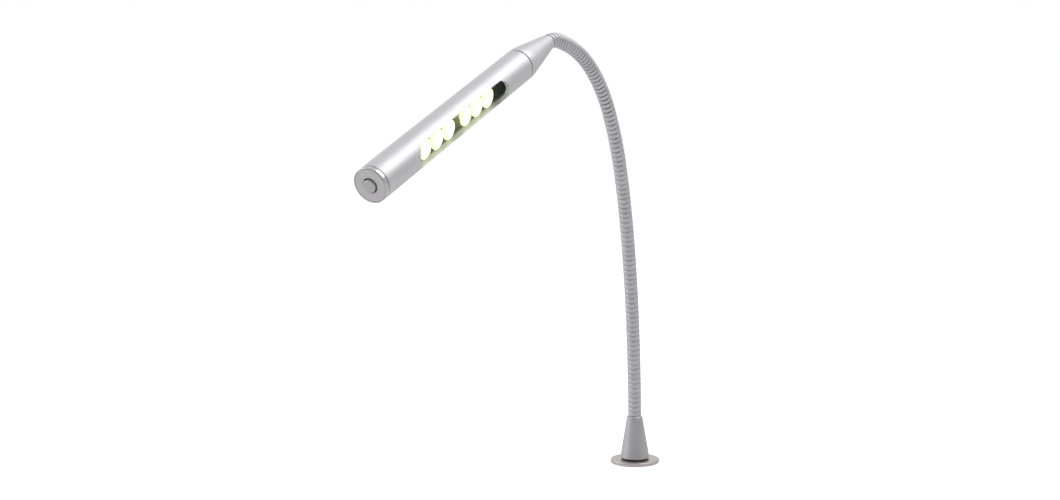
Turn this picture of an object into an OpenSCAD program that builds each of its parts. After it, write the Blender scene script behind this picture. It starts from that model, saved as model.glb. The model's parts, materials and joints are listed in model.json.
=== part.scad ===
// Examination lamp: a round mounting flange with a conical foot, a ribbed gooseneck,
// and a tubular LED head that swivels on its cone and has a push button in its end cap.
// Millimetres. The origin is the centre of the flange's underside, +Z is up, and the
// neck reaches out along +X.

/* [Foot] */
// Diameter of the mounting flange
flange_d = 44; // [40:1:60]
// Thickness of the mounting flange
flange_t = 3; // [2.5:0.5:3]
// Diameter of the foot cone just above the flange
foot_d = 26; // [24:0.5:30]
// Height of the foot cone's top above the flange's underside
foot_h = 42; // [40:1:50]
// Tapped diameter of the M10 x 1 thread that the lamp is fastened by
stem_thread_d = 9.2; // [9:0.1:9.4]

/* [Gooseneck] */
// Outside diameter of the gooseneck hose
hose_d = 12; // [12:0.1:12.2]
// Bore of the hose
hose_bore_d = 3.8; // [3.4:0.1:4]
// Diameter of the two-core lead inside the hose
lead_d = 2.2; // [1.6:0.1:2.4]

/* [Head] */
// Outside diameter of the head tube
head_d = 26.4; // [26:0.1:27]
// Wall thickness of the head tube
head_wall = 3; // [2.8:0.1:3]
// Length of the head from the swivel groove to the cap's face
head_l = 211.5; // [205:0.5:230]
// Length of the taper between the gooseneck and the collar
taper_l = 42; // [42:1:46]
// Length of the collar up to the swivel groove
collar_l = 6.5; // [6.5:0.5:8]
// Turn of the window round the head's axis, from straight down, in degrees
window_turn = 75; // [0:5:90]

/* [Window and LEDs] */
// Length of the milled window
window_l = 129; // [125:1:131]
// Width of the milled window
window_w = 19; // [16:0.5:19]
// Distance from the swivel groove to the window
window_at = 38; // [36:1:40]
// Diameter of one LED lens
lens_d = 15.2; // [12:0.1:15.2]
// Distance from one lens to the next in a group of three
lens_pitch = 16.5; // [15.5:0.1:16.5]
// Gap between the middles of the two groups' inner lenses
group_gap = 24.5; // [22:0.5:25]

/* [Push button] */
// Diameter of the push button
button_d = 9.5; // [8:0.1:9.5]
// How far the button stands proud of the cap
button_proud = 1.6; // [1.4:0.1:2.5]
// Travel of the button
button_travel = 1.2; // [0.8:0.1:1.2]

/* [Hidden] */
$fn = 64;

// Clearances
slip = 0.1;      // between a ball and its socket, and round fitted pieces
play = 0.05;     // a running fit
eps = 0.5;       // how far a cutting tool runs past a face

// Gooseneck: the arcs of its centreline, from the foot up, each [length, turn in degrees].
// Hose pieces 0 to 7 hold one arc each, and piece 8 holds the last two.
ARCS = [
    [30, 1.5], [50, 2.5], [50, 3], [50, 3.5], [50, 6],
    [50, 12.5], [45, 21.5], [40, 22], [25, 9.5], [20, 31]
];
function arc_r(k) = ARCS[k][0] / (ARCS[k][1] * PI / 180);
function angle_at(k) = k == 0 ? 0 : angle_at(k - 1) + ARCS[k - 1][1];
function point_at(k) = k == 0 ? [0, 0, foot_h] : arc_point(k - 1, 1);
// The point a fraction t of the way along arc k
function arc_point(k, t) = let (a = angle_at(k), b = a + t * ARCS[k][1])
    point_at(k) + arc_r(k) * [cos(a) - cos(b), 0, sin(b) - sin(a)];
// Where the tangents at the ends of a stretch of arc k meet, from share t to share t + w of it
function tangent_point(k, t = 0, w = 1) = let (a = angle_at(k) + t * ARCS[k][1])
    arc_point(k, t) + arc_r(k) * tan(w * ARCS[k][1] / 2) * [sin(a), 0, cos(a)];
// The two straight runs that stand in for arc k, each along the neck at its own end
function way(k) = [point_at(k), tangent_point(k), point_at(k + 1)];
// A way cut short by some length at each end
function toward(p, q, d) = p + (q - p) * d / norm(q - p);
function shortened(w, low, high) = let (last = len(w) - 1) [
    for (i = [0 : last])
        i == 0 ? toward(w[0], w[1], low) :
        i == last ? toward(w[last], w[last - 1], high) : w[i]
];

// Hose links
hose_r = hose_d / 2;
waist_r = hose_r - 0.5;     // the hose between the collars at a link's ends
ball_r = 4.6;
ball_flat = 3.2;            // height of the flat on the ball above a joint's middle
stem_r = 2.8;
mouth_r = 3.9;              // the socket's mouth
knee_rise = 0.4;            // how far the ball at a bend stands out from the bar
socket_lip = 2.5;           // how far a socket reaches below its joint's middle
shoulder = 4.8;             // where a link's full body starts below a joint's middle
collar_in = 8;              // how far a link's end collars reach along the hose
plug_in = 12;               // how far the hose stands in the foot
plug_out = 10;              // how far the hose stands in the head cone

// Foot, as heights above the flange's underside
thread_top = 9;             // end of the thread that is left free for the mounting stem
boss_top = 18.8;
boss_r = 9;
ledge_z = 20;               // ledge that the end fitting clamps
ledge_t = 2;
fit_r = 4.95;               // threaded stubs of the two end fittings
fit_bore_r = 2;

// Head, as distances along its axis from the end of the gooseneck
head_r = head_d / 2;
bore_r = head_r - head_wall;
groove_z = taper_l + collar_l;
groove_w = 0.8;
face_z = groove_z + head_l;
cap_l = 3.7;
tube_end = face_z - cap_l - 0.6;
journal_r = 6;
stop_r = 9.1;               // radius that the stop pin runs on
stop_depth = 2.2;
stop_block = 20;            // width of the stop's fixed block, in degrees
ring_z = groove_z + 13.65;
plug_z = [groove_z + 1, groove_z + 13];

// LED unit, in the window's frame: +X out of the window, Z along the head
window_z = groove_z + window_at;
board_x = 0.5;
board_t = 1.6;
board_w = 18;
board_z = [groove_z + 24, groove_z + 176];
sink_z = [groove_z + 20, groove_z + 180];
lens_x = 2.1;               // underside of the lenses
lens_foot_r = 3.4;
lens_cone = 3.3;            // height at which a lens reaches its full width
lens_h = 5.1;
lens_dome = 0.6;
cover_r = [head_r - 1.1, head_r - 0.3];
first_lens = groove_z + 59;
LENSES = [
    for (g = [0, 1]) for (i = [0 : 2])
        first_lens + g * (2 * lens_pitch + group_gap) + i * lens_pitch
];
SINK_SCREWS = [groove_z + 50, groove_z + 155];
BOARD_SCREWS = [
    [6.5, board_z[0] + 3], [-6.5, board_z[0] + 3],
    [6.8, board_z[1] - 3], [-6.8, board_z[1] - 3]
];

// Switch
face_t = 1.6;
face_r = 12.3;
switch_r = 7.5;
switch_l = 24;
switch_well = 9;            // depth of the switch's well behind the cap's face
pin_l = 3;                  // the switch's two pins, and where its leads run
lead_x = 4;
lead_y = 1.6;
spring_turns = 5;
spring_wire_r = 0.25;
spring_r = 2.6;

// ---- Placing ----

module at_arc(k) {
    translate(point_at(k)) rotate([0, angle_at(k), 0]) children();
}

module in_head() {
    at_arc(len(ARCS)) children();
}

module in_window() {
    in_head() rotate([0, 0, window_turn]) children();
}

// A round bar between two points of the plane y = 0
module strut(p, q, r) {
    d = q - p;
    translate(p) rotate([0, atan2(d[0], d[2]), 0]) rod(r, 0, norm(d));
}

// A round bar that follows a few points. Its straight runs stop short of each bend, where
// a slightly fuller ball joins them
module bent_bar(points, r) {
    ball = r + knee_rise;
    gap = 0.7 * sqrt(ball * ball - r * r);
    last = len(points) - 1;
    for (i = [1 : last]) {
        p = points[i - 1];
        q = points[i];
        strut(i == 1 ? p : toward(p, q, gap), i == last ? q : toward(q, p, gap), r);
    }
    for (i = [1 : 1 : last - 1]) translate(points[i]) sphere(ball);
}

module tube(r_out, r_in, z0, z1) {
    difference() {
        translate([0, 0, z0]) cylinder(r = r_out, h = z1 - z0);
        translate([0, 0, z0 - eps]) cylinder(r = r_in, h = z1 - z0 + 2 * eps);
    }
}

module rod(r, z0, z1) {
    translate([0, 0, z0]) cylinder(r = r, h = z1 - z0);
}

// ---- Foot ----

module base_flange() color("silver") {
    rim = 0.4;
    difference() {
        union() {
            rod(flange_d / 2, 0, flange_t - rim);
            translate([0, 0, flange_t - rim])
                cylinder(r1 = flange_d / 2, r2 = flange_d / 2 - rim, h = rim);
            rod(boss_r, flange_t - 1, boss_top);
        }
        rod(stem_thread_d / 2, -eps, thread_top + eps);
        rod(fit_r + play, thread_top, boss_top + eps);
    }
}

module base_cone() color("darkgray") {
    foot_r = foot_d / 2;
    top_r = hose_r + 1;
    chamfer = 0.8;
    step = 0.6;             // undercut that shows as a dark line on the flange
    difference() {
        rotate_extrude() polygon([
            [0, flange_t], [foot_r - step, flange_t], [foot_r - step, flange_t + step],
            [foot_r, flange_t + step], [foot_r, flange_t + 2 * step],
            [top_r, foot_h - chamfer], [top_r - chamfer + 0.2, foot_h], [0, foot_h]
        ]);
        rod(boss_r + 0.2, flange_t - eps, ledge_z);
        rod(fit_r + 0.3, ledge_z - eps, foot_h);
        rod(hose_r + play, ledge_z + ledge_t, foot_h + eps);
    }
}

module base_lock_washer() color("gainsboro") {
    tube(8.5, fit_r + 0.3, boss_top, ledge_z);
}

module base_end_fitting() color("goldenrod") {
    top = foot_h - plug_in;
    difference() {
        union() {
            rod(fit_r, thread_top + 1.2, ledge_z + ledge_t);
            rod(hose_r - 0.1, ledge_z + ledge_t, top);
        }
        rod(fit_bore_r, thread_top, top + eps);
    }
}

module lead_bush() color("dimgray") {
    difference() {
        union() {
            rod(fit_r - 0.1, thread_top, thread_top + 1.2);
            rod(fit_bore_r, thread_top + 0.6, thread_top + 7);
        }
        rod(lead_d / 2 + play, thread_top - eps, thread_top + 8);
    }
}

// ---- Gooseneck ----

// The socket at the start of arc k: its collar, and the round hole for the ball below
module socket_collar() {
    rod(hose_r, -socket_lip, collar_in);
}

module socket_hole() {
    sphere(ball_r + slip);
    rod(mouth_r, -socket_lip - eps, -1);
}

// The ball at a joint's middle, with its stem and the collar that it stands on
module ball_end() {
    difference() {
        union() {
            sphere(ball_r);
            rod(stem_r, -shoulder - 1, 0);
            rod(hose_r, -shoulder - collar_in, -shoulder);
        }
        rod(ball_r + eps, ball_flat, ball_r + eps);
        cylinder(r1 = hose_bore_d / 2, r2 = stem_r, h = ball_flat + play);
    }
}

module hose_link(k) color("lightgray") {
    difference() {
        union() {
            at_arc(k) socket_collar();
            bent_bar(shortened(way(k), collar_in - 2, shoulder + collar_in - 2), waist_r);
            at_arc(k + 1) ball_end();
        }
        at_arc(k) socket_hole();
        bent_bar(way(k), hose_bore_d / 2);
    }
}

// The way from a height inside the foot to the first joint
function first_way(z) = [[0, 0, z], tangent_point(0), point_at(1)];

module hose_0() color("lightgray") {
    difference() {
        union() {
            rod(hose_r, foot_h - plug_in, foot_h + 2);
            bent_bar(shortened(way(0), 1, shoulder + collar_in - 2), waist_r);
            at_arc(1) ball_end();
        }
        bent_bar(first_way(foot_h - plug_in - eps), hose_bore_d / 2);
    }
}

// The way through the last hose piece, which holds two arcs, and on into the head cone
last_arc = len(ARCS) - 1;
last_angle = angle_at(len(ARCS));
function head_point(z) = point_at(len(ARCS)) + z * [sin(last_angle), 0, cos(last_angle)];
function last_way(z) = [
    point_at(last_arc - 1), tangent_point(last_arc - 1),
    tangent_point(last_arc, 0, 0.5), tangent_point(last_arc, 0.5, 0.5), head_point(z)
];

module hose_8() color("lightgray") {
    difference() {
        union() {
            at_arc(last_arc - 1) socket_collar();
            bent_bar(last_way(1), waist_r);
            in_head() rod(hose_r, -1, plug_out);
        }
        at_arc(last_arc - 1) socket_hole();
        bent_bar(last_way(plug_out + eps), hose_bore_d / 2);
    }
}

lead_gap = 0.5;             // from a joint's middle to the end of a stretch of lead

module lead_link(k) color("white") {
    bent_bar(shortened(way(k), lead_gap, lead_gap), lead_d / 2);
}

module lead_0() color("white") {
    bent_bar(shortened(first_way(thread_top + 0.5), 0, lead_gap), lead_d / 2);
}

module lead_8() color("white") {
    bent_bar(shortened(last_way(groove_z), lead_gap, 0), lead_d / 2);
}

// ---- Head cone and swivel ----

web_z = 16.2;               // web in the cone that the end fitting goes through
web_t = 7.8;
spigot_z = 36.2;            // start of the swivel spigot's thread in the collar

module head_end_fitting() color("goldenrod") in_head() {
    difference() {
        union() {
            rod(hose_r - 0.1, plug_out, web_z);
            rod(fit_r, web_z, web_z + web_t + 5);
        }
        rod(fit_bore_r, plug_out - eps, web_z + web_t + 6);
    }
}

module fitting_nut() color("silver") in_head() {
    z0 = web_z + web_t;
    difference() {
        translate([0, 0, z0]) cylinder(r = 7.8, h = 4, $fn = 6);
        rod(fit_r, z0 - eps, z0 + 4 + eps);
    }
}

module head_cone() color("lightgray") in_head() {
    difference() {
        rotate_extrude() polygon([
            [0, 0], [hose_r + 0.3, 0], [hose_r + 0.6, 0.4], [head_r, taper_l],
            [head_r, groove_z - groove_w / 2 - 0.3], [head_r - 0.3, groove_z - groove_w / 2],
            [0, groove_z - groove_w / 2]
        ]);
        rod(hose_r + play, -eps, web_z);
        rod(fit_r + 0.1, web_z - eps, web_z + web_t + eps);
        rod(8.5, web_z + web_t, spigot_z);
        rod(journal_r + 1, spigot_z - eps, groove_z);
        // groove for the stop pin, all the way round but for the fixed block
        translate([0, 0, groove_z - groove_w / 2 - stop_depth])
            rotate([0, 0, stop_block / 2]) rotate_extrude(angle = 360 - stop_block)
                translate([stop_r - 1.2, 0]) square([2.4, stop_depth + eps]);
    }
}

module swivel_spigot() color("goldenrod") in_head() {
    difference() {
        union() {
            rod(journal_r + 0.95, spigot_z, groove_z - 0.9);
            rod(journal_r, groove_z - 1, ring_z + 1.9);
        }
        rod(3.5, spigot_z - eps, ring_z + 2.5);
        tube(journal_r + eps, journal_r - 0.6, ring_z, ring_z + 1);
    }
}

module swivel_washer() color("dimgray") in_head() {
    tube(12.3, 10.6, groove_z - groove_w / 2, groove_z + 0.3);
}

module retaining_ring() color("gray") in_head() {
    translate([0, 0, ring_z]) rotate([0, 0, 30]) rotate_extrude(angle = 300)
        translate([journal_r - 0.6, 0]) square([2.6, 1]);
}

module wave_washer() color("silver") in_head() {
    tube(9.8, journal_r + 0.3, plug_z[1], plug_z[1] + 0.55);
}

module tube_plug() color("silver") in_head() {
    difference() {
        tube(bore_r, journal_r + play, plug_z[0], plug_z[1]);
        rotate([0, 0, 180]) translate([stop_r, 0, 0]) rod(0.9, plug_z[0] - eps, plug_z[0] + 6);
    }
}

module stop_pin() color("gray") in_head() {
    rotate([0, 0, 180]) translate([stop_r, 0, 0])
        rod(0.9, groove_z - groove_w / 2 - stop_depth + 0.4, plug_z[0] + 6);
}

// ---- Head tube and LED unit ----

// The window's outline, pushed out along +X
module window_shape(half, from) {
    ends = [window_z + window_w / 2, window_z + window_l - window_w / 2];
    for (z = ends)
        translate([from, 0, z]) rotate([0, 90, 0]) cylinder(r = half, h = head_r);
    translate([from, -half, ends[0]]) cube([head_r, 2 * half, ends[1] - ends[0]]);
}

module head_tube() color("lightgray") {
    difference() {
        in_head() tube(head_r, bore_r, groove_z + groove_w / 2, tube_end);
        in_window() window_shape(window_w / 2, 2);
        for (z = SINK_SCREWS) in_window() {
            translate([-head_r - 1, 0, z]) rotate([0, 90, 0]) cylinder(r = 1.6, h = 6);
            translate([-head_r - 0.2, 0, z]) rotate([0, 90, 0])
                cylinder(r1 = 3.3, r2 = 1.3, h = 2);
        }
    }
}

module heat_sink_screws() color("silver") in_window() {
    for (z = SINK_SCREWS) translate([-head_r, 0, z]) rotate([0, 90, 0]) difference() {
        union() {
            translate([0, 0, 0.3]) cylinder(r1 = 2.8, r2 = 1.3, h = 1.5);
            translate([0, 0, 1]) cylinder(r = 1.5, h = 7);
        }
        cylinder(r = 1, h = 1.1, $fn = 6);
    }
}

module heat_sink() color("silver") in_window() {
    difference() {
        rod(bore_r - 0.1, sink_z[0], sink_z[1]);
        translate([board_x, -head_r, sink_z[0] - eps])
            cube([head_d, head_d, sink_z[1] - sink_z[0] + 2 * eps]);
        // three cooling grooves along the back
        for (turn = [-38, 0, 38]) rotate([0, 0, turn])
            translate([-bore_r - 1, -0.8, sink_z[0] - eps])
                cube([2.4, 1.6, sink_z[1] - sink_z[0] + 2 * eps]);
        for (z = SINK_SCREWS)
            translate([-bore_r - 1, 0, z]) rotate([0, 90, 0]) cylinder(r = 1.5, h = 7);
        for (s = BOARD_SCREWS)
            translate([board_x - 4, s[0], s[1]]) rotate([0, 90, 0]) cylinder(r = 1, h = 5);
    }
}

module led_board() color("darkgreen") in_window() {
    difference() {
        translate([board_x, -board_w / 2, board_z[0]])
            cube([board_t, board_w, board_z[1] - board_z[0]]);
        for (s = BOARD_SCREWS)
            translate([board_x - 1, s[0], s[1]]) rotate([0, 90, 0]) cylinder(r = 1.1, h = 4);
    }
}

module board_screws() color("silver") in_window() {
    top = board_x + board_t;
    for (s = BOARD_SCREWS) translate([0, s[0], s[1]]) rotate([0, 90, 0]) difference() {
        union() {
            translate([0, 0, top]) cylinder(r = 1.8, h = 1.2);
            translate([0, 0, board_x - 3.9]) cylinder(r = 1, h = 3.9 + board_t + 0.2);
        }
        translate([0, 0, top + 0.5]) cylinder(r = 0.8, h = 1, $fn = 6);
    }
}

// Small parts on the board, each [across, along from the groove, width, length, height]
PARTS = [
    [0, 44, 6, 5, 1.6], [-6, 43, 2, 3.2, 1], [6, 42, 2, 3.2, 1], [0, 36, 7, 7, 3.2],
    [-6, 35, 2.5, 3.5, 1.4], [-4.5, 104.2, 1.2, 2, 0.6], [-1.5, 104.2, 1.2, 2, 0.6],
    [1.5, 104.2, 1.2, 2, 0.6], [4.5, 104.2, 1.2, 2, 0.6], [0, 171, 7, 6, 4.5],
    [0, 163.5, 4, 3, 1], [0, 27.5, 6, 3, 1.2]
];
module board_parts() color("#222") in_window() {
    for (p = PARTS)
        translate([board_x + board_t, p[0] - p[2] / 2, groove_z + p[1] - p[3] / 2])
            cube([p[4], p[2], p[3]]);
}

module led_chips() color("khaki") in_window() {
    base = board_x + board_t;
    for (z = LENSES) translate([base, 0, z]) {
        translate([0, -1.75, -1.75]) cube([0.8, 3.5, 3.5]);
        rotate([0, 90, 0]) translate([0, 0, 0.7]) cylinder(r1 = 1.4, r2 = 0.9, h = 0.7);
    }
}

module led_lenses() color("white") in_window() {
    rim = lens_d / 2;
    for (z = LENSES) translate([lens_x, 0, z]) rotate([0, 90, 0]) difference() {
        union() {
            cylinder(r = lens_foot_r, h = 1.2);
            translate([0, 0, 1.1]) cylinder(r1 = lens_foot_r, r2 = rim, h = lens_cone - 1.1);
            translate([0, 0, lens_cone]) cylinder(r = rim, h = lens_h - lens_dome - lens_cone);
            translate([0, 0, lens_h - lens_dome]) cylinder(r1 = rim - 0.6, r2 = 3, h = lens_dome);
        }
        translate([0, 0, -eps]) cylinder(r = 2.7, h = 2.2);
    }
}

// A clear strip that lies flush in the window
module window_cover() color("lightblue") in_window() {
    intersection() {
        window_shape(window_w / 2 - 0.1, 2);
        tube(cover_r[1], cover_r[0], window_z - 1, window_z + window_l + 1);
    }
}

module head_lead() color("white") in_window() {
    strut([0, 0, groove_z + 1], [3.6, 0, groove_z + 25.5], lead_d / 2);
}

// ---- End cap and switch ----

module end_cap() color("silver") in_head() {
    edge = 0.7;
    difference() {
        union() {
            rod(head_r, face_z - cap_l, face_z - edge);
            translate([0, 0, face_z - edge])
                cylinder(r1 = head_r, r2 = head_r - edge, h = edge);
            rod(bore_r - play, face_z - 16, face_z - cap_l);
        }
        rod(face_r + play, face_z - face_t, face_z + eps);
        rod(switch_r + 0.1, face_z - 8, face_z);
        rod(bore_r - 1.6, face_z - 17, face_z - 6);
    }
}

module cap_seal() color("#222") in_head() {
    tube(head_r - 0.6, bore_r + 0.2, tube_end, face_z - cap_l);
}

module face_disc() color("darkgray") in_head() {
    tube(face_r, button_d / 2 + 0.85, face_z - face_t, face_z);
}

module switch_body() color("#333") in_window() {
    back = face_z - switch_l;
    difference() {
        rod(switch_r, back, face_z - face_t);
        rod(button_d / 2 + 0.07, face_z - switch_well, face_z);
        tube(switch_r + 1, switch_r - 0.7, back - 1, back + 2);
    }
    for (y = [-lead_y, lead_y])
        translate([lead_x - 0.4, y - 0.7, back - pin_l]) cube([0.8, 1.4, pin_l + 0.2]);
}

module switch_leads() color("firebrick") in_window() {
    for (y = [-lead_y, lead_y])
        translate([lead_x, y, 0]) rod(0.65, groove_z + 174, face_z - switch_l - pin_l);
}

// The spring's wire: a helix swept as one polyhedron
function helix_at(t) = [spring_r * cos(360 * t), spring_r * sin(360 * t)];
module helix(z0, z1, turns, wire_r, sides = 6, steps = 14) {
    n = turns * steps;
    rise = atan((z1 - z0) / turns / (2 * PI * spring_r));
    points = [
        for (i = [0 : n]) let (t = i / steps, a = 360 * t, p = helix_at(t))
            for (j = [0 : sides - 1]) let (
                b = 360 * j / sides,
                out = wire_r * cos(b),
                up = wire_r * sin(b)
            )
            [
                p[0] + out * cos(a) + up * sin(rise) * sin(a),
                p[1] + out * sin(a) - up * sin(rise) * cos(a),
                z0 + (z1 - z0) * i / n + up * cos(rise)
            ]
    ];
    sides_faces = [
        for (i = [0 : n - 1]) for (j = [0 : sides - 1])
            let (a = i * sides + j, b = i * sides + (j + 1) % sides)
            [a, a + sides, b + sides, b]
    ];
    ends = [
        [for (j = [0 : sides - 1]) j],
        [for (j = [sides - 1 : -1 : 0]) n * sides + j]
    ];
    polyhedron(points, concat(sides_faces, ends));
}

module button_spring() color("gray") in_head() {
    helix(face_z - switch_well + spring_wire_r, face_z - 2 - spring_wire_r,
          spring_turns, spring_wire_r);
}

module push_button() color("darkgray") in_head() {
    top = face_z + button_proud;
    edge = 0.5;
    bottom = face_z - switch_well + button_travel + 0.3;
    difference() {
        union() {
            rod(button_d / 2, bottom, top - edge);
            translate([0, 0, top - edge])
                cylinder(r1 = button_d / 2, r2 = button_d / 2 - edge, h = edge);
        }
        rod(spring_r + 0.6, bottom - eps, face_z - 2);
    }
}

base_flange();
base_cone();
base_lock_washer();
base_end_fitting();
lead_bush();
hose_0();
for (k = [1 : 7]) {
    hose_link(k);
    lead_link(k);
}
hose_8();
lead_0();
lead_8();
head_end_fitting();
fitting_nut();
head_cone();
swivel_spigot();
swivel_washer();
retaining_ring();
head_tube();
tube_plug();
stop_pin();
wave_washer();
heat_sink();
heat_sink_screws();
led_board();
board_parts();
board_screws();
led_chips();
led_lenses();
window_cover();
head_lead();
switch_body();
switch_leads();
end_cap();
cap_seal();
face_disc();
button_spring();
push_button();
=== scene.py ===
"""Examination lamp: the looks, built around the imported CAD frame.

Shapes are worked out in millimetres, on an axis of their own, and placed in the frame in metres.
Places come from the frame's joints, and from the driving sizes below.
"""

import json
import math

import bpy
import numpy as np
from mathutils import Matrix, Vector


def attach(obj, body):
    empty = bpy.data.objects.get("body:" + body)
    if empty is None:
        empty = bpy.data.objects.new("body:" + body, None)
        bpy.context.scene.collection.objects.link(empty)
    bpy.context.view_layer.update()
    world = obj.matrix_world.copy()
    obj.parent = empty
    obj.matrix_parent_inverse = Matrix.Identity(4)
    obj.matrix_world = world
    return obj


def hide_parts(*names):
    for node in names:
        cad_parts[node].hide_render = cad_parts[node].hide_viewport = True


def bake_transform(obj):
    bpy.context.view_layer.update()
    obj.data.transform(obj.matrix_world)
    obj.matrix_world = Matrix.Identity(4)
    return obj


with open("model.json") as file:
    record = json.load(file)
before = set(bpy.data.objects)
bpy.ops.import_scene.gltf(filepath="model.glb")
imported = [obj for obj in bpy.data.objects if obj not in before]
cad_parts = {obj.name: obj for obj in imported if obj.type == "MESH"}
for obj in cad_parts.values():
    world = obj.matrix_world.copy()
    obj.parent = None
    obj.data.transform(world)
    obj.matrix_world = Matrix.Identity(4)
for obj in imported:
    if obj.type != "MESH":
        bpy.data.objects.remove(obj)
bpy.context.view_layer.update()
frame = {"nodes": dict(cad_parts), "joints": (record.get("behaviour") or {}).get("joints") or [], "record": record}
MM = 0.001

# ---- Driving sizes, in millimetres and degrees, those of the CAD model or fitted round them ----

FLANGE_R = 22.0
FLANGE_T = 3.0
BOSS_R = 9.0  # the flange's threaded boss, inside the foot
BOSS_TOP = 18.8
THREAD_R = 5.0
THREAD_CREST_R = 4.6
THREAD_TURNS = 9  # 1 mm each, up from the flange's underside
FOOT_R = 13.0
FOOT_NECK_R = 7.0
FOOT_TOP = 42.0
FOOT_LEDGE = (20.0, 22.0)  # the ledge that the hose's end fitting clamps, from and to
FOOT_LEDGE_R = 5.25

HOSE_R = 6.0
HOSE_CLEAR = 0.05  # round the hose where it enters the head cone
NECK_ARCS = (  # each stretch's length and turn
    (30, 1.5), (50, 2.5), (50, 3), (50, 3.5), (50, 6),
    (50, 12.5), (45, 21.5), (40, 22), (25, 9.5), (20, 31),
)
NECK_JOINTS = 8  # one at the end of each of the first eight stretches

TAPER_L = 42.0
COLLAR_L = 6.5
COLLAR_END = -0.6  # from the swivel's groove, as all places along the head are
SPIGOT_R = 8.0
SPIGOT_IN = 12.3
CONE_BORE_R = 8.5
CONE_BORE_TO = 24.0  # from the cone's neck end
CONE_WEB_TO = 16.2

HEAD_R = 13.2
HEAD_WALL = 3.0
HEAD_BORE_R = HEAD_R - HEAD_WALL
HEAD_L = 211.5
TUBE_FROM = 0.4  # half the width of the swivel's groove
CAP_L = 3.7
CAP_GAP = 0.6
WINDOW_TURN = 75.0
WINDOW_AT = 38.0
WINDOW_L = 129.0
WINDOW_W = 19.0
SCREWS_AT = (50.0, 155.0)
SCREW_R = 1.6
SCREW_HEAD_R = 4.3

LENS_R = 7.6
LENS_AT = (59.0, 75.5, 92.0, 116.5, 133.0, 149.5)
LENS_FOOT = 2.1  # the lenses' underside, from the head's axis
LENS_FOOT_R = 3.4
LENS_CONE = 3.3  # height at which a lens reaches its full width
LENS_RIM = 4.5

BUTTON_R = 4.75
BUTTON_PROUD = 1.6
BUTTON_SKIRT = 7.5
BUTTON_BORE_R = 4.0
DISC_T = 1.6
DISC_R = 12.1
CAP_RIM_R = 12.35
SWITCH_R = 7.6
SWITCH_WELL = 6.0

# ---- Camera ----

CAMERA_PLACE = (1.222, 0.6135, 0.3235)
CAMERA_FORWARD = (-0.8572, -0.5061, -0.0946)
CAMERA_UP = (-0.0873, -0.0382, 0.9954)
FOCAL_LENGTH = 51.97
SENSOR_WIDTH = 36.0


def aim(obj, place, forward, up):
    """Puts obj at a place and points its -Z along forward, with its +Y near up."""
    back = -Vector(forward).normalized()
    right = Vector(up).cross(back).normalized()
    turn = Matrix((right, back.cross(right), back)).transposed()
    obj.matrix_world = Matrix.Translation(place) @ turn.to_4x4()


def add_camera():
    data = bpy.data.cameras.new("camera")
    data.sensor_width = SENSOR_WIDTH
    data.lens = FOCAL_LENGTH
    data.clip_start = 0.01
    cam = bpy.data.objects.new("camera", data)
    bpy.context.scene.collection.objects.link(cam)
    aim(cam, CAMERA_PLACE, CAMERA_FORWARD, CAMERA_UP)
    bpy.context.scene.camera = cam


add_camera()

# ---- Node helpers for materials ----


def link_or_set(tree, socket, value):
    if isinstance(value, bpy.types.NodeSocket):
        tree.links.new(value, socket)
    else:
        socket.default_value = value


def node(tree, kind, inputs=None, **props):
    """A new shader node with its properties set and its inputs linked or set."""
    n = tree.nodes.new("ShaderNode" + kind)
    for key, value in props.items():
        setattr(n, key, value)
    for key, value in (inputs or {}).items():
        link_or_set(tree, n.inputs[key], value)
    return n


def maths(tree, operation, *values):
    return node(tree, "Math", dict(enumerate(values)), operation=operation).outputs[0]


def noise(tree, vector, scale, detail=3.0, dimensions="3D"):
    """Noise from 0 to 1, with scale cells in each metre."""
    inputs = {"Vector": vector, "Scale": scale, "Detail": detail}
    n = node(tree, "TexNoise", inputs, noise_dimensions=dimensions)
    return n.outputs["Fac"]


def spread(tree, value, low, high, to_low=0.0, to_high=1.0):
    """The value's range low to high, stretched to another range and held inside it."""
    inputs = {"Value": value, "From Min": low, "From Max": high}
    inputs.update({"To Min": to_low, "To Max": to_high})
    return node(tree, "MapRange", inputs, clamp=True).outputs[0]


def blend_colour(tree, share, a, b):
    n = node(tree, "Mix", data_type="RGBA")
    link_or_set(tree, n.inputs[0], share)
    link_or_set(tree, n.inputs[6], a)
    link_or_set(tree, n.inputs[7], b)
    return n.outputs[2]


def grey(value):
    return (value, value, value, 1.0)


def rgb(r, g, b):
    return (r, g, b, 1.0)


def place_of(tree):
    return node(tree, "TexCoord").outputs["Object"]


def round_the_axis(tree, origin, axis):
    """The distance from an axis, and along it, of each point of the surface, in metres."""

    def vector(operation, inputs):
        return node(tree, "VectorMath", inputs, operation=operation).outputs

    near = vector("SUBTRACT", {0: place_of(tree), 1: origin})[0]
    along = vector("DOT_PRODUCT", {0: near, 1: axis})["Value"]
    shadow = vector("SCALE", {0: axis, "Scale": along})[0]
    away = vector("SUBTRACT", {0: near, 1: shadow})[0]
    return vector("LENGTH", {0: away})["Value"], along


def bump(tree, height, distance):
    """A bump of the given depth, in metres."""
    inputs = {"Height": height, "Distance": distance, "Strength": 1.0}
    return node(tree, "Bump", inputs).outputs[0]


def new_material(name, metallic=0.0, **fixed):
    """A material with its Principled node, whose unchanging numbers are set directly."""
    mat = bpy.data.materials.new(name)
    mat.use_nodes = True
    shader = mat.node_tree.nodes["Principled BSDF"]
    shader.inputs["Metallic"].default_value = metallic
    for key, value in fixed.items():
        shader.inputs[key.replace("_", " ")].default_value = value
    return mat, mat.node_tree, shader


# ---- Materials: texture scales are in cells per metre, and depths in metres ----


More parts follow.
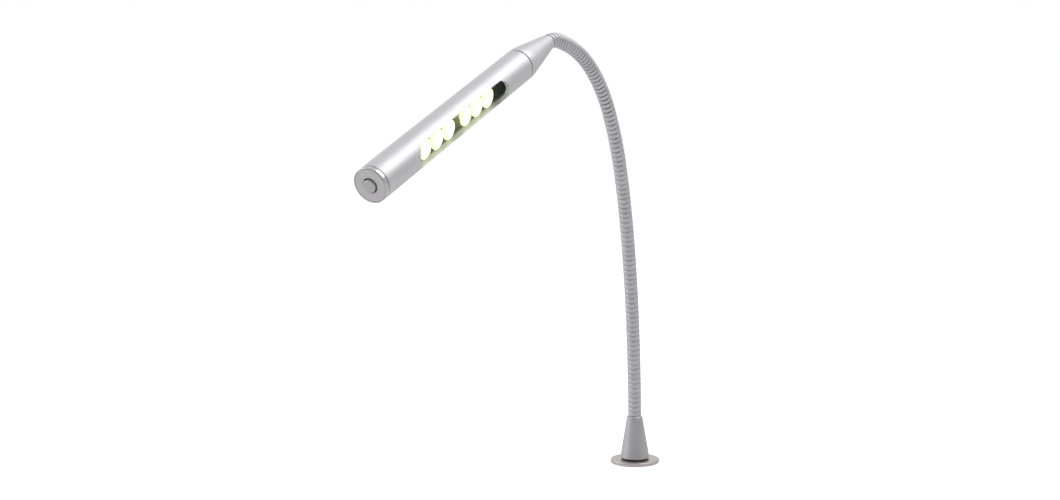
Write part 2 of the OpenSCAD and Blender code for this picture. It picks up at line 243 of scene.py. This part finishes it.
def metal(name, light, dark, rough, metallic=1.0):
    """Blasted or anodised metal: faint clouds of tone, a fine grain and an uneven gloss."""
    mat, tree, shader = new_material(name, metallic)
    place = place_of(tree)
    clouds = noise(tree, place, scale=38.0, detail=4.0)
    grain = noise(tree, place, scale=2600.0, detail=2.0)
    tone = spread(tree, clouds, 0.3, 0.7)
    link_or_set(tree, shader.inputs["Base Color"], blend_colour(tree, tone, dark, light))
    smear = noise(tree, place, scale=90.0)
    gloss = spread(tree, smear, 0.25, 0.75, rough - 0.04, rough + 0.04)
    link_or_set(tree, shader.inputs["Roughness"], gloss)
    link_or_set(tree, shader.inputs["Normal"], bump(tree, grain, 0.000004))
    return mat


def turned_metal(name, light, dark, rough, origin, axis, lines, depth):
    """Metal with the fine rings that a lathe leaves round the given axis."""
    mat, tree, shader = new_material(name, 1.0)
    far, along = round_the_axis(tree, origin, axis)
    rings_at = node(tree, "CombineXYZ", {"X": far, "Y": along}).outputs[0]
    rings = noise(tree, rings_at, lines, detail=2.0, dimensions="2D")
    bands = noise(tree, rings_at, lines / 9, detail=2.0, dimensions="2D")
    tone = spread(tree, maths(tree, "ADD", rings, bands), 0.75, 1.25)
    link_or_set(tree, shader.inputs["Base Color"], blend_colour(tree, tone, dark, light))
    gloss = spread(tree, bands, 0.3, 0.7, rough - 0.05, rough + 0.05)
    link_or_set(tree, shader.inputs["Roughness"], gloss)
    link_or_set(tree, shader.inputs["Normal"], bump(tree, rings, depth))
    return mat


def plastic(name, light, dark, rough):
    """Moulded plastic or rubber with a spark-eroded grain."""
    mat, tree, shader = new_material(name)
    place = place_of(tree)
    tone = spread(tree, noise(tree, place, scale=160.0, detail=4.0), 0.3, 0.7)
    link_or_set(tree, shader.inputs["Base Color"], blend_colour(tree, tone, dark, light))
    grain = noise(tree, place, scale=1800.0)
    gloss = spread(tree, grain, 0.3, 0.7, rough - 0.06, rough + 0.06)
    link_or_set(tree, shader.inputs["Roughness"], gloss)
    link_or_set(tree, shader.inputs["Normal"], bump(tree, grain, 0.00001))
    return mat


def hose_metal():
    """Bright wire, duller in the grooves, and darker there with painted shade."""
    mat, tree, shader = new_material("gooseneck_steel", 1.0)
    groove = node(tree, "Attribute", attribute_name="groove").outputs["Fac"]
    place = node(tree, "Attribute", attribute_name="rest_place").outputs["Vector"]
    tone = spread(tree, noise(tree, place, scale=120.0, detail=4.0), 0.3, 0.7)
    bright = blend_colour(tree, tone, rgb(0.66, 0.655, 0.69), rgb(0.74, 0.735, 0.77))
    # painted shade: the colour darkens towards near-black with the groove's depth
    groove_shade = spread(tree, groove, 0.2, 1.0)
    colour = blend_colour(tree, groove_shade, bright, rgb(0.20, 0.20, 0.215))
    link_or_set(tree, shader.inputs["Base Color"], colour)
    link_or_set(tree, shader.inputs["Roughness"], spread(tree, groove, 0.0, 1.0, 0.5, 0.62))
    scratches = noise(tree, place, scale=3000.0, detail=2.0)
    link_or_set(tree, shader.inputs["Normal"], bump(tree, scratches, 0.000006))
    return mat


def board_green():
    """Grey-green solder mask over copper tracks, with dust."""
    mat, tree, shader = new_material("solder_mask")
    place = node(tree, "Attribute", attribute_name="board_place").outputs["Vector"]
    inputs = {"Vector": place, "Scale": 420.0}
    cells = node(tree, "TexVoronoi", inputs, distance="MANHATTAN", feature="F1")
    tracks = spread(tree, cells.outputs["Distance"], 0.28, 0.34)
    tone = blend_colour(tree, tracks, rgb(0.24, 0.28, 0.14), rgb(0.10, 0.13, 0.055))
    dust = spread(tree, noise(tree, place, scale=300.0), 0.3, 0.7, 0.0, 0.35)
    colour = blend_colour(tree, dust, tone, rgb(0.26, 0.28, 0.16))
    link_or_set(tree, shader.inputs["Base Color"], colour)
    link_or_set(tree, shader.inputs["Roughness"], spread(tree, tracks, 0.0, 1.0, 0.3, 0.42))
    link_or_set(tree, shader.inputs["Normal"], bump(tree, tracks, 0.00004))
    return mat


def glowing(name, middle, rim, strength):
    """A lit lens: its light falls off from the middle to its green-tinted rim, in faint facets."""
    mat, tree, shader = new_material(name, Roughness=0.15)
    out = node(tree, "Attribute", attribute_name="rim").outputs["Fac"]
    cells = node(tree, "TexVoronoi", {"Vector": place_of(tree), "Scale": 900.0})
    facets = cells.outputs["Distance"]
    uneven = maths(tree, "ADD", out, maths(tree, "MULTIPLY", facets, 0.16))
    edge = spread(tree, uneven, 0.62, 1.08)
    tone = blend_colour(tree, edge, middle, rim)
    link_or_set(tree, shader.inputs["Base Color"], tone)
    link_or_set(tree, shader.inputs["Emission Color"], tone)
    power = spread(tree, edge, 0.0, 1.0, strength, strength * 0.72)
    link_or_set(tree, shader.inputs["Emission Strength"], power)
    link_or_set(tree, shader.inputs["Normal"], bump(tree, facets, 0.0001))
    return mat


def clear_pane():
    """Clear acrylic: what is behind it shows through, with a reflection that grows at a glance."""
    mat = bpy.data.materials.new("clear_acrylic")
    mat.use_nodes = True
    tree = mat.node_tree
    tree.nodes.clear()
    smear = noise(tree, place_of(tree), scale=220.0, detail=4.0)
    gloss = node(tree, "BsdfGlossy", {"Color": grey(0.95)})
    link_or_set(tree, gloss.inputs["Roughness"], spread(tree, smear, 0.3, 0.7, 0.02, 0.07))
    through = node(tree, "BsdfTransparent", {"Color": rgb(0.97, 0.99, 0.97)})
    glance = node(tree, "LayerWeight", {"Blend": 0.5}).outputs["Facing"]
    share = maths(tree, "MULTIPLY_ADD", maths(tree, "POWER", glance, 5.0), 0.3, 0.012)
    both = node(tree, "MixShader", {0: share, 1: through.outputs[0], 2: gloss.outputs[0]})
    end = node(tree, "OutputMaterial")
    tree.links.new(both.outputs[0], end.inputs["Surface"])
    return mat


# ---- The head's axes ----

swivel = next(j for j in frame["joints"] if j["name"] == "head_swivel")
groove_at = Vector(swivel["pos_m"])
head_axis = Vector(swivel["axis"]).normalized()
side = Vector((0, 1, 0))
down = side.cross(head_axis)
window_turn = math.radians(WINDOW_TURN)
window_x = math.cos(window_turn) * down + math.sin(window_turn) * side
window_y = head_axis.cross(window_x)


def axes(x, y, z, origin):
    """The matrix that takes millimetres on these axes to the frame's metres."""
    turn = Matrix((x, y, z)).transposed().to_4x4()
    return Matrix.Translation(origin) @ turn @ Matrix.Scale(MM, 4)


FOOT = axes(Vector((1, 0, 0)), side, Vector((0, 0, 1)), Vector((0, 0, 0)))
HEAD = axes(window_x, window_y, head_axis, groove_at)

# ---- Mesh helpers ----


def new_object(name, points, faces, placing):
    """A piece made of points in millimetres, placed by a matrix."""
    mesh = bpy.data.meshes.new(name)
    mesh.from_pydata([tuple(p) for p in points], [], [tuple(f) for f in faces])
    mesh.transform(placing)
    mesh.validate()
    obj = bpy.data.objects.new(name, mesh)
    bpy.context.scene.collection.objects.link(obj)
    return obj


def finish_surface(obj, mat, sharp=40.0, weighted=True):
    """Smooth shading with sharp edges kept, and one material."""
    obj.data.shade_smooth()
    obj.data.set_sharp_from_angle(angle=math.radians(sharp))
    obj.data.materials.clear()
    obj.data.materials.append(mat)
    if weighted:
        even = obj.modifiers.new("even_normals", "WEIGHTED_NORMAL")
        even.keep_sharp = True
    return obj


def apply_modifiers(obj):
    """Replaces obj's mesh by the one its modifiers make."""
    graph = bpy.context.evaluated_depsgraph_get()
    mesh = bpy.data.meshes.new_from_object(obj.evaluated_get(graph))
    obj.modifiers.clear()
    obj.data = mesh


FILLET_STEPS = 5


def rounded(corners):
    """A profile's points, each corner given as (radius, height, fillet), with its fillets cut."""
    out = []
    count = len(corners)
    for i, (r, z, fillet) in enumerate(corners):
        here = np.array((r, z), float)
        if not fillet:
            out.append(here)
            continue
        before = np.array(corners[i - 1][:2], float) - here
        after = np.array(corners[(i + 1) % count][:2], float) - here
        before /= np.linalg.norm(before)
        after /= np.linalg.norm(after)
        half = math.acos(np.clip(before @ after, -1, 1)) / 2
        inward = (before + after) / np.linalg.norm(before + after)
        middle = here + inward * fillet / math.sin(half)
        first = here + before * fillet / math.tan(half) - middle
        last = here + after * fillet / math.tan(half) - middle
        swing = math.acos(np.clip(first @ last / fillet**2, -1, 1))
        for k in range(FILLET_STEPS + 1):
            t = k / FILLET_STEPS
            spoke = math.sin((1 - t) * swing) * first + math.sin(t * swing) * last
            out.append(middle + spoke / math.sin(swing))
    return out


def turned(name, corners, placing, mat, segments=128, closed=True):
    """A lathe-turned piece: a closed profile, or an open one that ends on the axis."""
    profile = rounded(corners)
    points, rows = [], []
    for r, z in profile:
        if r < 1e-6:
            rows.append([len(points)] * segments)
            points.append((0, 0, z))
            continue
        rows.append(list(range(len(points), len(points) + segments)))
        for k in range(segments):
            a = 2 * math.pi * k / segments
            points.append((r * math.cos(a), r * math.sin(a), z))
    faces = []
    pairs = list(zip(rows, rows[1:])) + ([(rows[-1], rows[0])] if closed else [])
    for low, high in pairs:
        for k in range(segments):
            m = (k + 1) % segments
            face = [low[k], low[m], high[m], high[k]]
            face = [v for i, v in enumerate(face) if v != face[i - 1]]
            if len(face) > 2:
                faces.append(face)
    obj = new_object(name, points, faces, placing)
    return finish_surface(obj, mat)


# ---- Gooseneck: a wire wound round the neck's centreline, in ribs ----

RIB_PITCH = 4.35
RIB_DEPTH = 0.42  # of the grooves where the neck is nearly straight
RIB_DEPTH_BENT = 0.85  # and where it bends tightly
TIGHT_BEND = 0.5  # degrees in each millimetre
BEND_REACH = 5.0  # how far either way a place's bend is measured
RIB_CROWN = 2.6  # power of the rib's outline: 2 is round, and more is flatter
RIB_ROWS = 12
RIB_SEGMENTS = 56
HOSE_FROM = -8.7  # where the wire starts and ends, along the neck from the foot's top
HOSE_TO = 418.0


def neck(s):
    """The neck's centreline at a distance from the foot's top: its point and its lean."""
    if s <= 0:
        return np.array((0.0, 0.0, FOOT_TOP + s)), 0.0
    point, lean = np.array((0.0, 0.0, FOOT_TOP)), 0.0
    for length, turn in NECK_ARCS:
        radius = length / math.radians(turn)
        step = min(s, length)
        to = lean + step / radius
        rise = (math.cos(lean) - math.cos(to), 0, math.sin(to) - math.sin(lean))
        point = point + radius * np.array(rise)
        lean = to
        s -= step
        if s <= 0:
            return point, lean
    return point + s * np.array((math.sin(lean), 0, math.cos(lean))), lean


def joint_lengths():
    """How far along the neck each of its joints is."""
    out, s = [], 0.0
    for length, _ in NECK_ARCS[:NECK_JOINTS]:
        s += length
        out.append(s)
    return out


def rib_rows():
    """The share of the pitch, and of the groove's depth, at each row of a rib."""
    rows = []
    for j in range(RIB_ROWS):
        x = math.sin(math.pi * (j / RIB_ROWS - 0.5))
        rows.append((x / 2 + 0.5, abs(x) ** RIB_CROWN))
    return rows


RIBS = rib_rows()


def groove_depth(s):
    """How deep the grooves are at a distance along the neck: they open where it bends tightly."""
    bend = math.degrees(neck(s + BEND_REACH)[1] - neck(s - BEND_REACH)[1])
    rate = bend / (2 * BEND_REACH)
    return RIB_DEPTH + (RIB_DEPTH_BENT - RIB_DEPTH) * min(1.0, rate / TIGHT_BEND)


def hose_piece(name, first_turn, last_turn, mat):
    """The wound wire between two turns, closed by a fan at each end. Its rows follow the wire."""
    points, depths = [], []
    cuts = RIB_SEGMENTS
    start, stop = first_turn * cuts, last_turn * cuts

    def add(n, j):
        share, sunk = RIBS[j]
        a = 2 * math.pi * n / cuts
        s = HOSE_FROM + RIB_PITCH * (n / cuts + share)
        centre, lean = neck(s)
        radius = HOSE_R - sunk * groove_depth(s)
        out = np.array((math.cos(lean), 0, -math.sin(lean)))
        spoke = math.cos(a) * out + math.sin(a) * np.array((0, 1, 0))
        points.append(centre + radius * spoke)
        depths.append((HOSE_R - radius) / RIB_DEPTH_BENT)

    index = {}
    for n in range(start, stop + 1):
        for j in range(RIB_ROWS):
            index[n, j] = len(points)
            add(n, j)
    for n in range(stop + 1, stop + cuts + 1):
        index[n, 0] = len(points)
        add(n, 0)

    def at(n, j):
        return index[(n + cuts, 0)] if j == RIB_ROWS else index[n, j]

    faces = []
    for n in range(start, stop):
        for j in range(RIB_ROWS):
            faces.append((at(n, j), at(n + 1, j), at(n + 1, j + 1), at(n, j + 1)))
    for end, flip in ((start, True), (stop, False)):
        loop = [at(n, 0) for n in range(end, end + cuts + 1)]
        loop += [at(end, j) for j in range(RIB_ROWS - 1, 0, -1)]
        centre, _ = neck(HOSE_FROM + RIB_PITCH * (end / cuts + 0.5))
        hub = len(points)
        points.append(centre)
        depths.append(1.0)
        for a, b in zip(loop, loop[1:] + loop[:1]):
            faces.append((hub, b, a) if flip else (hub, a, b))
    obj = new_object(name, points, faces, Matrix.Scale(MM, 4))
    mesh = obj.data
    # the groove's depth, which also drives the material's painted shade
    groove = mesh.attributes.new("groove", "FLOAT", "POINT")
    groove.data.foreach_set("value", np.array(depths, np.float32))
    rest = mesh.attributes.new("rest_place", "FLOAT_VECTOR", "POINT")
    rest.data.foreach_set("vector", (np.array(points, np.float32) * MM).ravel())
    return finish_surface(obj, mat, sharp=75.0, weighted=False)


def build_hose():
    """Lengths of hose, each spanning one joint, that meet at the middle of each link."""
    mat = hose_metal()
    at = joint_lengths()
    middles = [(a + b) / 2 for a, b in zip(at, at[1:])]
    turns = [0] + [round((s - HOSE_FROM) / RIB_PITCH) for s in middles]
    turns.append(round((HOSE_TO - HOSE_FROM) / RIB_PITCH))
    for k in range(NECK_JOINTS):
        piece = hose_piece(f"gooseneck_{k + 1}", turns[k], turns[k + 1], mat)
        point, lean = neck(at[k])
        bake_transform(piece)
        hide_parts(f"hose_{k}")
    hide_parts(f"hose_{NECK_JOINTS}")


build_hose()

# ---- Foot ----

SHADOW_FACES_R = 12.65  # the foot's faces inside this radius and below this height are painted near-black, a painted shadow in the undercut
SHADOW_FACES_TOP = 4.6


def build_flange():
    plate = turned_metal(
        "nickel_plate", rgb(0.76, 0.71, 0.69), rgb(0.64, 0.59, 0.57), rough=0.33,
        origin=(0, 0, 0), axis=Vector((0, 0, 1)), lines=5200.0, depth=0.00001
    )
    thread = []
    for top in range(THREAD_TURNS, 0, -1):
        thread += [
            (THREAD_CREST_R, top - 0.15, 0), (THREAD_R, top - 0.5, 0),
            (THREAD_CREST_R, top - 0.85, 0)
        ]
    flange = turned("flange_plate", [
        (THREAD_R + 0.1, 0, 0), (FLANGE_R - 0.4, 0, 0.3), (FLANGE_R, 0.5, 0.3),
        (FLANGE_R, FLANGE_T, 0.9), (BOSS_R, FLANGE_T, 0), (BOSS_R, BOSS_TOP, 0.3),
        (THREAD_R, BOSS_TOP, 0.2), (THREAD_R, THREAD_TURNS, 0), *thread, (THREAD_CREST_R, 0.5, 0)
    ], FOOT, plate)
    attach(flange, "base")
    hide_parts("base_flange")


def build_foot_cone():
    """The conical foot, undercut at the bottom, where the undercut's faces are painted near-black as painted
    shadow.
    """
    shell = metal(
        "satin_paint", rgb(0.64, 0.64, 0.67), rgb(0.59, 0.59, 0.62), rough=0.48, metallic=0.75
    )
    low, high = FOOT_LEDGE
    cone = turned("foot_cone", [
        (BOSS_R + 0.2, FLANGE_T, 0), (FOOT_R - 1.5, FLANGE_T, 0), (FOOT_R - 1.5, FLANGE_T + 1, 0),
        (FOOT_R - 0.4, FLANGE_T + 1.25, 0.2), (FOOT_R, FLANGE_T + 2.1, 0.6),
        (FOOT_NECK_R, FOOT_TOP - 0.8, 0.6), (HOSE_R + 0.3, FOOT_TOP, 0.25),
        (HOSE_R + 0.1, FOOT_TOP, 0), (HOSE_R + 0.1, high, 0), (FOOT_LEDGE_R, high, 0),
        (FOOT_LEDGE_R, low, 0), (BOSS_R + 0.2, low, 0)
    ], FOOT, shell)
    # painted shadow: a near-black material on the undercut's faces, where only shade falls
    cone.data.materials.append(plastic("foot_painted_shadow", grey(0.016), grey(0.01), rough=0.6))
    for face in cone.data.polygons:
        x, y, z = face.center / MM
        if z < SHADOW_FACES_TOP and math.hypot(x, y) < SHADOW_FACES_R:
            face.material_index = 1
    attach(cone, "base")
    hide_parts("base_cone")


build_flange()
build_foot_cone()

# ---- Head shells ----

TAPER_EASE = 40.0  # fillet between the taper and the collar
EASED_EDGE = 0.25
WALL_SKIN = 0.15  # how far inside the wall's surfaces a milled face's middle lies, at least

silver = metal("anodised_silver", rgb(0.81, 0.80, 0.83), rgb(0.77, 0.76, 0.79), rough=0.5)


def build_head_cone():
    back = -(TAPER_L + COLLAR_L)
    cone = turned("head_taper", [
        (HOSE_R + HOSE_CLEAR, back, 0), (HOSE_R + 0.3, back, 0.1),
        (HOSE_R + 0.65, back + 0.4, 0.2), (HEAD_R, back + TAPER_L, TAPER_EASE),
        (HEAD_R, COLLAR_END, 0.3), (SPIGOT_R, COLLAR_END, 0), (SPIGOT_R, -SPIGOT_IN, 0),
        (CONE_BORE_R, -SPIGOT_IN, 0),
        (CONE_BORE_R, back + CONE_BORE_TO, 0), (HOSE_R + HOSE_CLEAR, back + CONE_WEB_TO, 0)
    ], HEAD, silver)
    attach(cone, "cone")
    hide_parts("head_cone")


def slot_cutter():
    """A block with round ends that cuts the window through the head tube's wall."""
    half, steps = WINDOW_W / 2, 40
    outline = []
    for middle, turn in ((WINDOW_AT + half, 1), (WINDOW_AT + WINDOW_L - half, 0)):
        for k in range(steps + 1):
            a = math.pi * (turn + k / steps)
            outline.append((half * math.cos(a), middle + half * math.sin(a)))
    count = len(outline)
    inside, outside = 2.0, HEAD_R + 6.8
    points = [(x, y, z) for x in (inside, outside) for y, z in outline]
    faces = [tuple(range(count))[::-1], tuple(range(count, 2 * count))]
    for k in range(count):
        m = (k + 1) % count
        faces.append((k, m, m + count, k + count))
    return new_object("slot_cutter", points, faces, HEAD)


def screw_cutter(z):
    """A countersunk hole through the back of the head tube, opposite the window."""
    placing = HEAD @ Matrix.Translation((-HEAD_R, 0, z)) @ Matrix.Rotation(math.pi / 2, 4, "Y")
    cutter = turned("screw_cutter", [
        (0, -1, 0), (SCREW_HEAD_R, -1, 0), (SCREW_R, SCREW_HEAD_R - SCREW_R - 1, 0),
        (SCREW_R, HEAD_WALL + 1.5, 0), (0, HEAD_WALL + 1.5, 0)
    ], placing, silver, segments=48, closed=False)
    cutter.modifiers.clear()
    return cutter


def build_head_tube():
    tube_end = HEAD_L - CAP_L - CAP_GAP
    tube = turned("head_barrel", [
        (HEAD_BORE_R, TUBE_FROM, 0.2), (HEAD_R, TUBE_FROM, 0.3),
        (HEAD_R, tube_end, 0.25), (HEAD_BORE_R, tube_end, 0.2)
    ], HEAD, silver, segments=192)
    tube.modifiers.clear()
    for cutter in [slot_cutter()] + [screw_cutter(z) for z in SCREWS_AT]:
        cut = tube.modifiers.new("cut", "BOOLEAN")
        cut.operation = "DIFFERENCE"
        cut.solver = "EXACT"
        cut.object = cutter
        apply_modifiers(tube)
        bpy.data.objects.remove(cutter)
    ease = tube.modifiers.new("eased_edge", "BEVEL")
    ease.width = EASED_EDGE * MM
    ease.segments = 3
    ease.limit_method = "ANGLE"
    ease.angle_limit = math.radians(50)
    ease.harden_normals = False
    apply_modifiers(tube)
    finish_surface(tube, silver)
    dress_window(tube)
    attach(tube, "head")
    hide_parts("head_tube")


def dress_window(tube):
    """Gives the window's milled walls their own, brighter metal."""
    tube.data.materials.append(metal(
        "milled_edge", rgb(0.93, 0.92, 0.93), rgb(0.86, 0.85, 0.86), rough=0.55, metallic=0.3
    ))
    back = HEAD.inverted()
    for face in tube.data.polygons:
        x, y, z = back @ face.center
        in_wall = HEAD_BORE_R + WALL_SKIN < math.hypot(x, y) < HEAD_R - WALL_SKIN
        if in_wall and x > 0 and WINDOW_AT - 1 < z < WINDOW_AT + WINDOW_L + 1:
            face.material_index = 1


build_head_cone()
build_head_tube()

# ---- End cap ----


def build_cap():
    """The cap ring, the matt disc in its face, and the seal behind it."""
    face = HEAD_L
    disc_back = face - DISC_T
    ring_metal = turned_metal(
        "turned_cap", rgb(0.80, 0.79, 0.82), rgb(0.66, 0.65, 0.68), rough=0.26,
        origin=tuple(groove_at), axis=head_axis, lines=4200.0, depth=0.00002
    )
    plug_r, plug_back = HEAD_BORE_R - 0.05, face - 16
    cap = turned("cap_ring", [
        (CAP_RIM_R, disc_back, 0), (CAP_RIM_R, face, 0.12), (HEAD_R - 0.45, face, 0.15),
        (HEAD_R, face - 0.6, 0.3), (HEAD_R, face - CAP_L, 0.25), (plug_r, face - CAP_L, 0),
        (plug_r, plug_back, 0.2), (SWITCH_R + 1, plug_back, 0.2),
        (SWITCH_R + 1, face - SWITCH_WELL, 0), (SWITCH_R, face - SWITCH_WELL, 0),
        (SWITCH_R, disc_back, 0)
    ], HEAD, ring_metal)
    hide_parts("end_cap")
    matt = metal(
        "matt_face", rgb(0.79, 0.775, 0.79), rgb(0.74, 0.725, 0.74), rough=0.5, metallic=0.5
    )
    hole_r = BUTTON_R + 0.85
    disc = turned("cap_disc", [
        (hole_r, disc_back, 0), (DISC_R, disc_back, 0), (DISC_R, face - 0.05, 0.12),
        (hole_r, face - 0.05, 0.3)
    ], HEAD, matt)
    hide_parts("face_disc")
    rubber = plastic("seal_rubber", grey(0.03), grey(0.02), rough=0.55)
    seal_in, seal_out = HEAD_BORE_R + 0.2, HEAD_R - 0.6
    seal = turned("cap_gap_seal", [
        (seal_in, face - CAP_L - CAP_GAP, 0), (seal_out, face - CAP_L - CAP_GAP, 0.15),
        (seal_out, face - CAP_L, 0.15), (seal_in, face - CAP_L, 0)
    ], HEAD, rubber)
    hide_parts("cap_seal")
    for piece in (cap, disc, seal):
        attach(piece, "head")


def build_button():
    """The push button: a cup over its spring, with a slightly dished top."""
    face = HEAD_L
    top = face + BUTTON_PROUD
    cup_top = face - 0.7
    button_grey = metal(
        "button_metal", rgb(0.68, 0.68, 0.68), rgb(0.62, 0.62, 0.62), rough=0.4, metallic=0.6
    )
    button = turned("button_cap", [
        (0, top - 0.18, 0), (3.6, top - 0.1, 0.4), (4.1, top, 0.3), (BUTTON_R, top - 0.55, 0.3),
        (BUTTON_R, face - BUTTON_SKIRT, 0.2), (BUTTON_BORE_R, face - BUTTON_SKIRT, 0),
        (BUTTON_BORE_R, cup_top, 0.3), (0, cup_top, 0)
    ], HEAD, button_grey, closed=False)
    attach(button, "button")
    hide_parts("push_button")


build_cap()
build_button()

# ---- LED unit ----

LENS_MIDDLE_R = 2.6  # the part of a lens's front that has no green
LENS_SIDE = 0.8  # how green a lens is below its rim


def lens(name, z, mat):
    """A collimator lens: a cup on a narrow foot, with a crisp rim and a shallow dome."""
    placing = HEAD @ Matrix.Translation((LENS_FOOT, 0, z)) @ Matrix.Rotation(math.pi / 2, 4, "Y")
    rim = LENS_RIM
    obj = turned(name, [
        (LENS_FOOT_R - 0.7, 0, 0), (LENS_FOOT_R, 0, 0.1), (LENS_FOOT_R, 1.1, 0),
        (LENS_R - 0.1, LENS_CONE, 0.1), (LENS_R - 0.1, rim - 0.8, 0), (LENS_R, rim - 0.5, 0),
        (LENS_R, rim, 0.15), (LENS_R - 0.6, rim, 0.1), (LENS_R - 0.8, rim + 0.2, 0),
        (LENS_R - 1.6, rim + 0.38, 0), (3.0, rim + 0.58, 1.5), (0, rim + 0.6, 0), (0, 1.7, 0),
        (2.4, 1.5, 0.3)
    ], placing, mat, segments=64)
    back = placing.inverted()
    greenness = []
    for v in obj.data.vertices:
        x, y, height = back @ v.co
        share = (math.hypot(x, y) - LENS_MIDDLE_R) / (LENS_R - LENS_MIDDLE_R)
        greenness.append(min(1.0, max(0.0, share)) if height > rim - 0.05 else LENS_SIDE)
    edge = obj.data.attributes.new("rim", "FLOAT", "POINT")
    edge.data.foreach_set("value", np.array(greenness, np.float32))
    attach(obj, "head")
    return obj


def build_leds():
    lit = glowing("lit_lens", rgb(1.0, 1.0, 0.93), rgb(0.70, 0.80, 0.32), strength=1.25)
    for k, z in enumerate(LENS_AT):
        made = lens(f"lens_{k + 1}", z, lit)
    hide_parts("led_lenses")


build_leds()

# ---- Materials of the CAD nodes that stay ----


def dress_cad():
    """Gives each material slot of the CAD nodes its finish."""
    finishes = {
        "bare_aluminium": metal(
            "milled_aluminium", rgb(0.72, 0.72, 0.73), rgb(0.6, 0.6, 0.61), rough=0.35
        ),
        "plain_steel": metal(
            "plain_steel", rgb(0.58, 0.57, 0.56), rgb(0.46, 0.45, 0.44), rough=0.3
        ),
        "brass": metal("turned_brass", rgb(0.78, 0.60, 0.28), rgb(0.66, 0.48, 0.2), rough=0.28),
        "black_plastic": plastic("black_moulding", grey(0.035), grey(0.02), rough=0.45),
        "white_lead": plastic("white_sleeve", grey(0.72), grey(0.62), rough=0.5),
        "red_wire": plastic(
            "red_sleeve", rgb(0.5, 0.03, 0.02), rgb(0.38, 0.02, 0.015), rough=0.45
        ),
        "led_phosphor": plastic(
            "led_phosphor", rgb(0.9, 0.75, 0.2), rgb(0.8, 0.62, 0.12), rough=0.5
        ),
        "clear_cover": clear_pane(),
        "green_board": board_green(),
    }
    slots = {row["node"]: row["material_slot"] for row in frame["record"]["subparts"]}
    for name, obj in frame["nodes"].items():
        mat = finishes.get(slots.get(name))
        if mat is not None:
            obj.data.materials.clear()
            obj.data.materials.append(mat)


def store_board_place():
    """Where each of the board's points is along and across the head, for its tracks."""
    board = frame["nodes"]["led_board"]
    back = HEAD.inverted()
    place = np.array([(back @ v.co) * MM for v in board.data.vertices], np.float32)
    attribute = board.data.attributes.new("board_place", "FLOAT_VECTOR", "POINT")
    attribute.data.foreach_set("vector", place.ravel())


dress_cad()
store_board_place()

# ---- Stage: floor, world and lights, in metres and watts ----

FLOOR_REACH = 6.0
FLOOR_DROP = 0.0002
FLOOR_GLOW = 0.7
FRONT_RIGHT = Vector((0.631, 0.772, 0.0))
WORLD_MIDDLE = 0.50  # the studio's strength at the sides
WORLD_SWING = 0.24  # how much weaker it is in front, and stronger behind
WORLD_TOP = 0.12  # how much is added overhead
OVERHEAD_FROM = 0.55  # sine of the height where that starts


def seen_directly(tree):
    return node(tree, "LightPath").outputs["Is Camera Ray"]


def add_floor():
    r = FLOOR_REACH
    mesh = bpy.data.meshes.new("floor")
    corners = [(-r, -r, 0), (r, -r, 0), (r, r, 0), (-r, r, 0)]
    mesh.from_pydata(corners, [], [(0, 1, 2, 3)])
    floor = bpy.data.objects.new("floor", mesh)
    floor.location.z = -FLOOR_DROP
    bpy.context.scene.collection.objects.link(floor)
    mat, tree, shader = new_material("pale_floor", Roughness=0.9)
    shader.inputs["Base Color"].default_value = grey(0.8)
    shader.inputs["Emission Color"].default_value = grey(1.0)
    white = spread(tree, seen_directly(tree), 0.0, 1.0, 0.0, FLOOR_GLOW)
    link_or_set(tree, shader.inputs["Emission Strength"], white)
    mesh.materials.append(mat)


def add_area(name, place, target, width, height, power):
    data = bpy.data.lights.new(name, "AREA")
    data.shape = "RECTANGLE"
    data.size = width
    data.size_y = height
    data.energy = power
    lamp = bpy.data.objects.new(name, data)
    bpy.context.scene.collection.objects.link(lamp)
    forward = Vector(target) - Vector(place)
    aim(lamp, place, forward, (0, 0, 1))


def add_world():
    """A pale studio, dimmer in front than behind. The camera sees plain white."""
    world = bpy.data.worlds.new("studio")
    bpy.context.scene.world = world
    world.use_nodes = True
    tree = world.node_tree
    back = tree.nodes["Background"]
    way = node(tree, "TexCoord").outputs["Generated"]
    toward = node(tree, "VectorMath", {0: way, 1: FRONT_RIGHT}, operation="DOT_PRODUCT")
    behind, front = WORLD_MIDDLE + WORLD_SWING, WORLD_MIDDLE - WORLD_SWING
    studio = spread(tree, toward.outputs["Value"], -1.0, 1.0, behind, front)
    height = node(tree, "SeparateXYZ", {0: way}).outputs["Z"]
    overhead = spread(tree, height, OVERHEAD_FROM, 1.0, 0.0, WORLD_TOP)
    studio = maths(tree, "ADD", studio, overhead)
    seen = node(tree, "Mix", {0: seen_directly(tree), 2: studio, 3: 1.0}, data_type="FLOAT")
    link_or_set(tree, back.inputs["Strength"], seen.outputs[0])
    back.inputs["Color"].default_value = grey(1.0)


def add_lights():
    middle = Vector((0.12, 0, 0.25))
    high = Vector((-0.225, 0.514, 0.826))
    place = middle + high * 1.7
    add_area("high_softbox", place, middle, width=1.65, height=1.25, power=9.8)
    left = Vector((0.40, -0.92, 0.25))
    place = middle + left * 1.5
    add_area("left_softbox", place, middle, width=1.5, height=1.6, power=4.8)


add_floor()
add_world()
add_lights()
settings = bpy.context.scene.view_settings
settings.view_transform = "Standard"
settings.look = "None"
